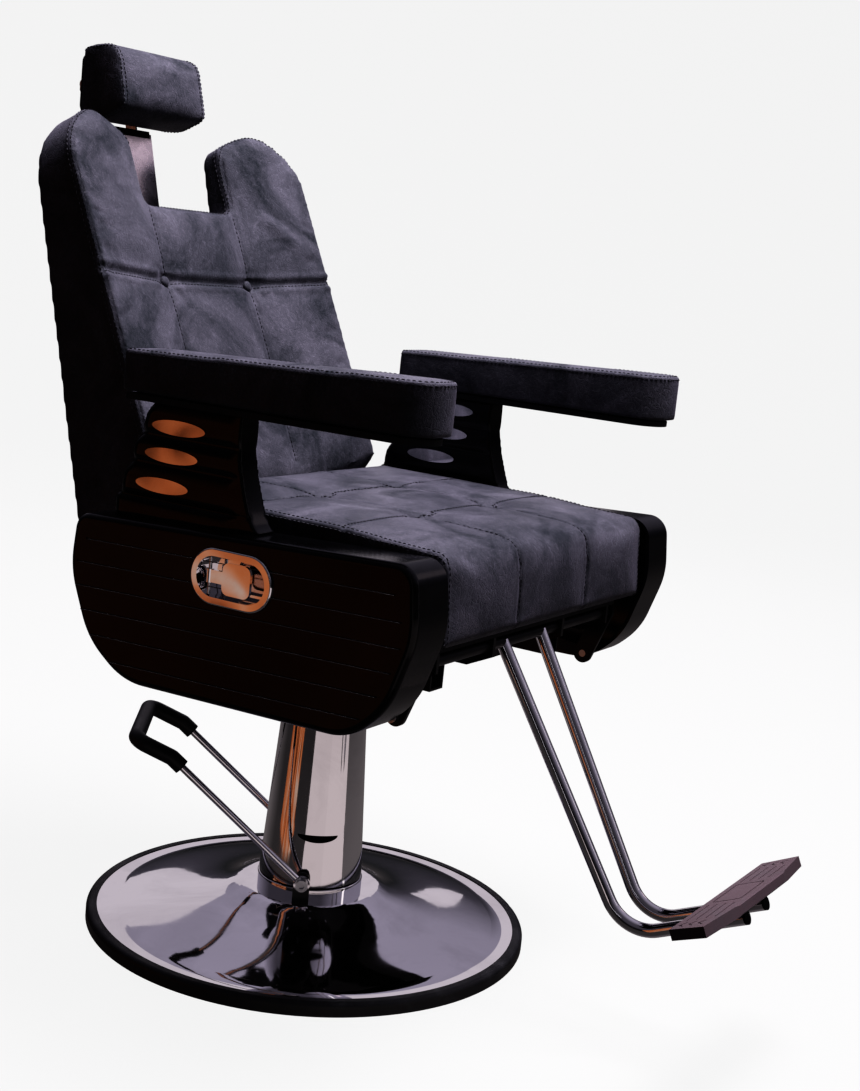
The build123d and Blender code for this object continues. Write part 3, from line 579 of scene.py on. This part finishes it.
def make_back():
    columns = [[front(x, s, face_depth(x)) for s in range(100, -270, -10)] for x in (-90, 90)]
    rows = [[front(x, 0, face_depth(x)) for x in range(-244, 245, 8)]]
    outline = [(-x, s) for x, s in BACK_OUTLINE] + [(x, s) for x, s in BACK_OUTLINE[-2::-1]]

    def rim(depth):
        return curve([front(x, s, face_depth(x) - depth) for x, s in outline])

    foot = 0.508

    def held(co):
        rear = (REAR_Y + (co[:, 2] - REAR_Z) * math.tan(REAR_TILT)) - 0.0124 - co[:, 1]
        behind = np.clip((0.014 - rear) / 0.008, 0, 1)
        side = np.clip((np.abs(co[:, 0]) - 0.238) / 0.006, 0, 1) * 0.6
        low = np.clip((foot + 0.012 - co[:, 2]) / 0.008, 0, 1)
        return np.maximum.reduce([behind, side, low])

    back = cushion("back_cushion_leather", "back_cushion", columns + rows, held, reach=0.014, cap=0.010,
                   shrink=0.002, rounding=2, grips=[0.35, 0.35, 1.0])
    inward = -FRONT_OUT
    tree = tree_of(back)
    seams = [laid_on(tree, polyline(line), inward) for line in columns + rows]
    grooved(back, seams[2], 0.0042, 0.0046, 0.0016)
    for seam in seams[:2]:
        grooved(back, seam, 0.0016, 0.0030, 0.0004)
    # the leather is drawn in round the buttons
    co, nn = coordinates(back.data), normals(back.data)
    for side in (-1, 1):
        spot = np.array(front(side * 90, 0, -SUNK))
        gap = np.linalg.norm(co - spot, axis=1)
        co -= nn * (0.006 * np.exp(-(gap / 0.016) ** 2))[:, None]
    set_coordinates(back.data, co)
    spots = []
    for side in (-1, 1):
        for _ in range(7):
            a = rng.uniform(0, 2 * math.pi)
            way = FRONT_UP * math.sin(a) + Vector((math.cos(a), 0, 0))
            spots.append((tuple(front(side * 90, 0, -SUNK)), tuple(way), rng.uniform(0.03, 0.055),
                          rng.uniform(0.003, 0.005)))
        for s, length in ((-18, 0.05), (30, 0.035), (44, 0.05), (60, 0.035), (78, 0.03),
                          (-70, 0.04), (-120, 0.045)):
            way = (Vector((-side, 0, 0)) + FRONT_UP * rng.uniform(-0.5, 0.9)).normalized()
            spots.append((tuple(front(side * 240, s, -2)), tuple(way), length,
                          rng.uniform(0.004, 0.007)))
    wrinkled(back, spots, 0.0016)
    # one long diagonal fold crosses the far lobe
    way = (Vector((0.82, 0, 0)) - FRONT_UP * 0.57).normalized()
    wrinkled(back, [(tuple(front(130, 105, -18)), tuple(way), 0.13, 0.012)], -0.0045)
    wrinkled(back, [(tuple(front(145, 112, -14)), tuple(way), 0.12, 0.006)], 0.0030)
    tree = tree_of(back)
    path = laid_on(tree, rim(0.5))
    grooved(back, path, 0.0016, 0.0024)
    path = laid_on(tree_of(back), rim(9.0))
    grooved(back, path, -0.0014, 0.0050)
    tree = tree_of(back)
    lines = [laid_on(tree, polyline(line), inward) for line in columns]
    low_row = laid_on(tree, polyline([p - FRONT_UP * 0.0035 for p in rows[0]]), inward)
    near_row, far_row = laid_on(tree, rim(5.0)), laid_on(tree, rim(13.0))
    sewn = stitches("back_stitches", lines + [low_row, near_row], thread)
    bright = stitches("back_rim_stitches", [far_row], thread_light, pitch=0.0072)
    settle(back, "backrest", "black_leather", "back_cushion")
    settle(sewn, "backrest", "black_leather")
    settle(bright, "backrest", "black_leather")
    make_buttons(tree)


BUTTON_SIDES = 36
BUTTON_PROFILE = ((0.0, 4.6), (2.5, 4.4), (4.8, 3.7), (6.6, 2.5), (7.6, 1.0), (7.9, -0.4),
                  (7.4, -1.8), (6.0, -3.4))


def make_buttons(tree):
    """Two domed buttons, covered in faintly pleated leather."""
    bm = bmesh.new()
    angles = [2 * math.pi * k / BUTTON_SIDES for k in range(BUTTON_SIDES)]
    for side in (-1, 1):
        hit = tree.ray_cast(front(side * 90, 0, 60), -FRONT_OUT, 0.3)
        seat = hit[0] + FRONT_OUT * 0.0026
        rings = []
        for r, h in BUTTON_PROFILE:
            depth = 0.02 if 3 < r < 7.8 else 0
            rings.append([bm.verts.new(
                seat + (Vector((math.cos(a), 0, 0)) + FRONT_UP * math.sin(a))
                * (r * MM * (1 + depth * math.cos(12 * a))) + FRONT_OUT * h * MM)
                for a in angles])
        skinned(bm, rings)
        bm.faces.new(rings[-1])
    bmesh.ops.remove_doubles(bm, verts=bm.verts, dist=1e-6)
    settle(finished(bm, "covered_buttons", FINISH["black_leather"]), "backrest",
           "black_leather", "back_buttons")


def make_rear_panel():
    """The leather-covered board that closes the back from behind."""
    panel = new_object("back_rear_panel", frame["nodes"]["back_board"].data.copy(),
                       FINISH["black_leather"])
    modified(panel, "REMESH", mode="VOXEL", voxel_size=0.004, use_smooth_shade=True)
    modified(panel, "SMOOTH", factor=0.5, iterations=10)
    co = coordinates(panel.data)
    low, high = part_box("back_board")
    u = np.clip(1 - (np.abs(co[:, 0]) / high.x) ** 4, 0, 1)
    v = np.clip(1 - (2 * (co[:, 2] - low.z) / (high.z - low.z) - 1) ** 6, 0, 1)
    rear = np.clip(normals(panel.data) @ np.array(REAR_OUT), 0, 1)
    co += np.array(REAR_OUT)[None] * (0.004 * u * v * rear)[:, None]
    set_coordinates(panel.data, co)
    inset = 0.014
    side, top = high.x - inset, high.z - inset
    half = [(0.122, 0.891), (0.132, 0.896), (0.136, 0.910), (0.136, top), (side - 0.045, top),
            (side - 0.015, top - 0.013), (side, top - 0.041), (side, low.z + inset)]
    outline = [(-x, z) for x, z in reversed(half)] + half
    loop = [Vector((x, REAR_Y + 0.010 + (z - REAR_Z) * math.tan(REAR_TILT), z))
            for x, z in outline]
    path = laid_on(tree_of(panel), polyline(loop + [loop[0]]), -REAR_OUT)
    grooved(panel, path, 0.0012, 0.0030)
    path = laid_on(tree_of(panel), polyline(loop + [loop[0]]), -REAR_OUT)
    sewn = stitches("rear_panel_stitches", [path], thread)
    settle(panel, "backrest", "black_leather", "back_board")
    settle(sewn, "backrest", "black_leather")


# ---------------------------------------------------------------- arm pads
def make_arm_pad(side, word):
    node = "arm_pad_" + word
    low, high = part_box(node)
    inner, outer = (low.x, high.x) if side > 0 else (high.x, low.x)

    def top_z(y):
        return (794 - (y / MM + 340) * 13 / 460) * MM

    def rim(inset, drop):
        i = inset * MM
        near, far = low.y + i, high.y - i
        a, b = inner + side * i, outer - side * i
        rows = []
        for cx, cy, r in ((b, far, 12), (b, near, 36), (a, near, 36), (a, far, 12)):
            r = max(2.0, r - inset) * MM
            way_x = -side if cx == b else side
            way_y = -1 if cy == far else 1
            centre = Vector((cx + way_x * r, cy + way_y * r, 0))
            for k in range(5):
                t = math.radians(22.5 * k)
                if (cx == b) == (cy == near):
                    dx, dy = math.cos(t), math.sin(t)
                else:
                    dx, dy = math.sin(t), math.cos(t)
                p = centre + Vector((-way_x * dx * r, -way_y * dy * r, 0))
                p.z = top_z(p.y) - drop * MM
                rows.append(p)
        return rows + [rows[0]]

    def held(co):
        return np.clip((low.z + 0.014 - co[:, 2]) / 0.008, 0, 1)

    guides = [polyline(rim(1.0, 1.0), 0.005)]
    pad = cushion(f"arm_pad_{word}_leather", node, guides, held, voxel=0.005, shrink=0.002,
                  cap=0.006, reach=0.012, rounding=3)
    tree = tree_of(pad)
    path = laid_on(tree, polyline(rim(0.5, 1.5)))
    grooved(pad, path, -0.0008, 0.0032)
    tree = tree_of(pad)
    inner_row = laid_on(tree, polyline([p + Vector((0, 0, 0.004)) for p in rim(6.0, 0.0)]),
                        Vector((0, 0, -1)))
    outer_row = laid_on(tree, polyline(rim(-2.0, 7.0)))
    sewn = stitches(f"arm_pad_{word}_stitches", [inner_row], thread)
    bright = stitches(f"arm_pad_{word}_side_stitches", [outer_row], thread)
    settle(pad, "seat", "black_leather", node)
    settle(sewn, "seat", "black_leather")
    settle(bright, "seat", "black_leather")


# ---------------------------------------------------------------- side covers
COVER_FACE, GROOVE_SLOPE = 336.0, math.tan(math.radians(1.9))
GROOVES, GROOVE_TOP, GROOVE_STEP = 6, 552.5, 29.0


def make_groove_lips(side, word):
    """A glossy bead along the lower lip of each groove of a side cover, coloured grey as a painted
    highlight of the light line along the lip.
    """
    tree = tree_of(frame["nodes"][f"side_cover_{word}"])
    beads = []
    for row in range(GROOVES):
        mid_z = GROOVE_TOP - GROOVE_STEP * row
        bulge = 0.055 * abs(mid_z - 505) ** 1.62
        fore, rear = -315 + 0.5 * bulge, 160 - 0.55 * bulge
        middle = (fore + rear) / 2
        line = points(*((side * COVER_FACE, y, mid_z - (y - middle) * GROOVE_SLOPE - 1.15)
                        for y in np.linspace(fore + 3, rear - 3, 60)))
        line = [p for p in line if tree.find_nearest(p)[3] < 1.2 * MM]
        # each bead is real rounded lip geometry, but its grey colour is a painted highlight
        beads.append(tube(f"groove_lip_{word}_{row + 1}", line, Vector((side, 0, 0)), 0.0006,
                          FINISH["lip"]))
    for bead in beads:
        settle(bead, "seat", "black_plastic")


# ---------------------------------------------------------------- arm posts
RIB_LEVELS = (0.725, 0.680, 0.6465, 0.603, 0.560)
REAR_ROUND = 0.014


def make_arm_post(word):
    """The moulded post: rounded bands that overlap like shingles, soft edges."""
    node = "arm_post_" + word
    post = new_object(f"arm_post_{word}_shell", frame["nodes"][node].data.copy(),
                      FINISH["black_plastic"])
    modified(post, "REMESH", mode="VOXEL", voxel_size=0.0026, use_smooth_shade=True)
    modified(post, "SMOOTH", factor=0.5, iterations=3)
    co = coordinates(post.data)
    low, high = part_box(node)
    mid = (low.x + high.x) / 2
    levels = np.round((co[:, 2] - low.z) / 0.003).astype(int)
    rear = np.full(levels.max() + 1, -1.0)
    np.maximum.at(rear, levels, co[:, 1])
    edge = np.clip(rear[levels] - co[:, 1], 0, REAR_ROUND)
    turned = REAR_ROUND - np.sqrt(np.maximum(REAR_ROUND ** 2 - (REAR_ROUND - edge) ** 2, 0))
    band = np.zeros(len(co))
    for top, foot in zip(RIB_LEVELS, RIB_LEVELS[1:]):
        t = (top - co[:, 2]) / (top - foot)
        inside = (t >= 0) & (t < 1)
        shape = np.clip(t / 0.45, 0, 1) ** 0.6 * np.clip((1 - t) / 0.20, 0, 1) ** 0.5
        band[inside] = (1 - shape)[inside]
    fade = np.clip((co[:, 1] + 0.062) / 0.02, 0, 1)
    flank = np.clip(np.abs(co[:, 0] - mid) / (0.9 * (high.x - low.x) / 2), 0, 1) ** 2
    inset = (0.0045 * band * fade + turned) * flank
    co[:, 0] -= np.sign(co[:, 0] - mid) * inset
    set_coordinates(post.data, co)
    modified(post, "SMOOTH", factor=0.5, iterations=1)
    settle(post, "seat", "black_plastic", node)


# ---------------------------------------------------------------- headrest
HEADREST_PROFILE = ((434, 1062), (434, 1148), (428, 1153.5), (390, 1158), (373, 1156), (364, 1142),
                    (352, 1088), (354, 1074), (368, 1066), (388, 1057), (412, 1056.5), (428, 1057))


def make_headrest():
    low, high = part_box("headrest_cushion")

    def ring(x):
        pts = points(*[(x / MM, y, z) for y, z in HEADREST_PROFILE[1:]] +
                     [(x / MM, *HEADREST_PROFILE[0])])
        return curve(pts)

    def held(co):
        return np.clip((co[:, 1] - high.y + 0.014) / 0.008, 0, 1)

    pad = cushion("headrest_cushion_leather", "headrest_cushion",
                  [ring(low.x + 0.001), ring(high.x - 0.001)], held, voxel=0.005,
                  shrink=0.0005, cap=0.009, reach=0.008, rounding=2)
    tree = tree_of(pad)
    for x in (low.x + 0.002, high.x - 0.002):
        grooved(pad, laid_on(tree, ring(x)), -0.0008, 0.0030)
    tree = tree_of(pad)
    rows = [laid_on(tree, ring(x)) for x in (low.x + 0.009, high.x - 0.009)]
    ends = [laid_on(tree, [p + Vector((math.copysign(0.004, p.x), 0, 0))
                           + (Vector((0, 0.398, 1.108)) - p) * 0.09 for p in ring(x)])
            for x in (low.x, high.x)]
    sewn = stitches("headrest_stitches", rows, thread, pitch=0.006)
    bright = stitches("headrest_end_stitches", ends, thread_light, pitch=0.006)
    settle(pad, "headrest", "black_leather", "headrest_cushion")
    settle(sewn, "headrest", "black_leather")
    settle(bright, "headrest", "black_leather")


make_seat()
make_back()
make_rear_panel()
make_arm_pad(-1, "right")
make_arm_pad(1, "left")
make_groove_lips(-1, "right")
make_groove_lips(1, "left")
make_arm_post("right")
make_arm_post("left")
make_headrest()


# ---------------------------------------------------------------- stage, lights, camera
def ramped(tree, source, stops):
    """A colour ramp driven by a socket."""
    ramp = tree.nodes.new("ShaderNodeValToRGB")
    elements = ramp.color_ramp.elements
    for index, (place, colour) in enumerate(stops):
        stop = elements[index] if index < 2 else elements.new(place)
        stop.position, stop.color = place, (*colour, 1)
    tree.links.new(source, ramp.inputs["Fac"])
    return ramp.outputs["Color"]


def ranged(tree, source, **values):
    made = tree.nodes.new("ShaderNodeMapRange")
    for socket, value in values.items():
        made.inputs[socket.replace("_", " ")].default_value = value
    tree.links.new(source, made.inputs["Value"])
    return made.outputs["Result"]


def aimed(made, centre, target, axis):
    made.location = centre
    made.rotation_mode = "QUATERNION"
    made.rotation_quaternion = (Vector(target) - Vector(centre)).to_track_quat(axis, "Y")


def flat_emission(name, colour, strength, mottled):
    material = bpy.data.materials.new(name)
    material.use_nodes = True
    tree = material.node_tree
    tree.nodes.clear()
    glow = tree.nodes.new("ShaderNodeEmission")
    glow.inputs["Color"].default_value = (*colour, 1)
    if mottled:
        noise = tree.nodes.new("ShaderNodeTexNoise")
        for socket, value in (("Scale", 3.2), ("Detail", 6.0), ("Distortion", 1.2)):
            noise.inputs[socket].default_value = value
        coords = tree.nodes.new("ShaderNodeTexCoord")
        tree.links.new(coords.outputs["Object"], noise.inputs["Vector"])
        tints = ramped(tree, noise.outputs["Fac"], (
            (0.36, (0.03, 0.018, 0.012)), (0.44, (0.75, 0.22, 0.08)), (0.56, colour),
            (0.66, (1.0, 0.78, 0.66))))
        tree.links.new(tints, glow.inputs["Color"])
    glow.inputs["Strength"].default_value = strength
    out = tree.nodes.new("ShaderNodeOutputMaterial")
    tree.links.new(glow.outputs[0], out.inputs["Surface"])
    return material


def make_floor():
    """A pale floor that curves up into a wall all round."""
    bm, rings = bmesh.new(), []
    for r, z in ((0.0, 0.0), (1.5, 0.0), (3.5, 0.0), (4.6, 0.10), (5.5, 0.5), (6.0, 1.3),
                 (6.2, 2.6), (6.2, 9.0)):
        rings.append(ring_of(bm, Vector((0, 0, z)), Vector((1, 0, 0)), Vector((0, 1, 0)),
                             max(r, 0.001), 96))
    bm.faces.new(rings[0])
    skinned(bm, rings)
    mesh = bpy.data.meshes.new("studio_floor")
    bm.to_mesh(mesh)
    bm.free()
    material = bpy.data.materials.new("studio_paper")
    material.use_nodes = True
    shader = material.node_tree.nodes["Principled BSDF"]
    shader.inputs["Base Color"].default_value = (0.02, 0.02, 0.02, 1)
    shader.inputs["Roughness"].default_value = 1.0
    shader.inputs["Specular IOR Level"].default_value = 0.0
    shader.inputs["Emission Color"].default_value = (1, 1, 1, 1)
    shader.inputs["Emission Strength"].default_value = 0.63
    floor = new_object("studio_floor", mesh, material)
    floor.visible_glossy = False
    floor.visible_diffuse = False


def card(name, centre, facing, width, height, colour, strength, mottled=False):
    """A reflection card: seen by polished surfaces, not by the camera."""
    mesh = bpy.data.meshes.new(name)
    w, h = width / 2, height / 2
    mesh.from_pydata([(-w, -h, 0), (w, -h, 0), (w, h, 0), (-w, h, 0)], [], [(0, 1, 2, 3)])
    made = new_object(name, mesh, flat_emission(name, colour, strength, mottled))
    aimed(made, centre, facing, "Z")
    made.visible_camera = False
    made.visible_shadow = False
    made.visible_diffuse = False


def soft_box(name, centre, target, size, power, colour):
    light = bpy.data.lights.new(name, "AREA")
    light.shape = "RECTANGLE"
    light.size, light.size_y = size
    light.energy = power
    light.color = colour
    made = bpy.data.objects.new(name, light)
    bpy.context.scene.collection.objects.link(made)
    aimed(made, centre, target, "-Z")
    made.visible_glossy = False


def make_world():
    """Bright overhead, dim round the horizon and towards -x, paler again from below."""
    world = bpy.data.worlds.new("studio")
    bpy.context.scene.world = world
    world.use_nodes = True
    tree = world.node_tree
    back = tree.nodes["Background"]
    coords = tree.nodes.new("ShaderNodeTexCoord")
    split = tree.nodes.new("ShaderNodeSeparateXYZ")
    tree.links.new(coords.outputs["Generated"], split.inputs[0])
    sky = ramped(tree, ranged(tree, split.outputs["Z"], From_Min=-1.0), (
        (0.0, (0.11, 0.10, 0.105)), (0.36, (0.10, 0.09, 0.092)), (0.46, (0.04, 0.036, 0.038)),
        (0.52, (0.02, 0.02, 0.022)), (0.60, (0.05, 0.046, 0.058)), (0.70, (0.20, 0.184, 0.23)),
        (1.0, (0.25, 0.23, 0.285))))
    sideways = ranged(tree, split.outputs["X"], From_Min=-0.45, From_Max=0.35, To_Min=0.28,
                      To_Max=1.15)
    # the dimming towards -x goes no further than this below the horizon
    below = ranged(tree, split.outputs["Z"], From_Min=-0.03, From_Max=-0.14, To_Min=0.0,
                   To_Max=0.4)
    strength = tree.nodes.new("ShaderNodeMath")
    strength.operation = "MAXIMUM"
    tree.links.new(sideways, strength.inputs[0])
    tree.links.new(below, strength.inputs[1])
    tree.links.new(sky, back.inputs["Color"])
    tree.links.new(strength.outputs[0], back.inputs["Strength"])


make_world()
make_floor()
soft_box("key_overhead", (0.4, -0.55, 3.3), (0, 0, 0.7), (1.6, 1.2), 270, (1.0, 0.95, 1.0))
soft_box("front_fill", (0.5, -1.1, 3.4), (0, 0, 0.9), (1.6, 1.4), 16, (0.93, 0.93, 1.0))
soft_box("far_window", (2.9, 1.3, 2.0), (0, 0, 0.75), (2.4, 1.7), 60, (1.0, 0.93, 1.0))
card("window_card", (2.6, 2.1, 1.35), (0, 0, 0.75), 2.4, 1.2, (1.0, 0.92, 1.0), 0.45)
card("warm_card", (-3.0, 2.0, 0.15), (0, 0, 0.55), 2.4, 1.9, (1.0, 0.38, 0.16), 0.36, True)
card("column_card", (-2.4, -1.9, -0.55), (0, 0, 0.3), 2.6, 1.5, (1.0, 0.88, 0.89), 0.42)
card("column_side_card", (-0.4, -3.0, -0.60), (0, 0, 0.3), 3.0, 1.7, (1.0, 0.88, 0.89), 0.44)
card("post_card", (2.7, -1.65, 2.15), (0, 0.25, 1.0), 0.9, 0.9, (1.0, 0.85, 0.94), 0.60)
card("strip_card_right", (1.5, -3.2, 1.2), (0, 0, 0.4), 0.30, 2.4, (1.0, 0.95, 0.96), 0.9)
card("strip_card_left", (-3.2, -1.2, 0.9), (0, 0, 0.5), 0.16, 1.8, (0.95, 0.93, 1.0), 0.8)


CAMERA_AT = (-1.86223, -1.2361, 0.9247)
YAW, PITCH, ROLL = (math.radians(v) for v in (30.52, -9.75, 5.81))
SENSOR, FRAME_HEIGHT, FOCAL = 36, 1091, 1699.7


def make_camera():
    forward = Vector((math.cos(YAW) * math.cos(PITCH), math.sin(YAW) * math.cos(PITCH),
                      math.sin(PITCH)))
    right = forward.cross(Vector((0, 0, 1))).normalized()
    up = right.cross(forward)
    c, s = math.cos(ROLL), math.sin(ROLL)
    across, above = c * right + s * up, -s * right + c * up
    camera = bpy.data.cameras.new("camera")
    camera.lens = FOCAL * SENSOR / FRAME_HEIGHT
    camera.sensor_width = SENSOR
    made = bpy.data.objects.new("camera", camera)
    bpy.context.scene.collection.objects.link(made)
    made.matrix_world = Matrix(
        [(across[k], above[k], -forward[k], CAMERA_AT[k]) for k in range(3)] + [(0, 0, 0, 1)])
    bpy.context.scene.camera = made


make_camera()
bpy.context.scene.view_settings.view_transform = "Standard"
bpy.context.scene.view_settings.look = "High Contrast"
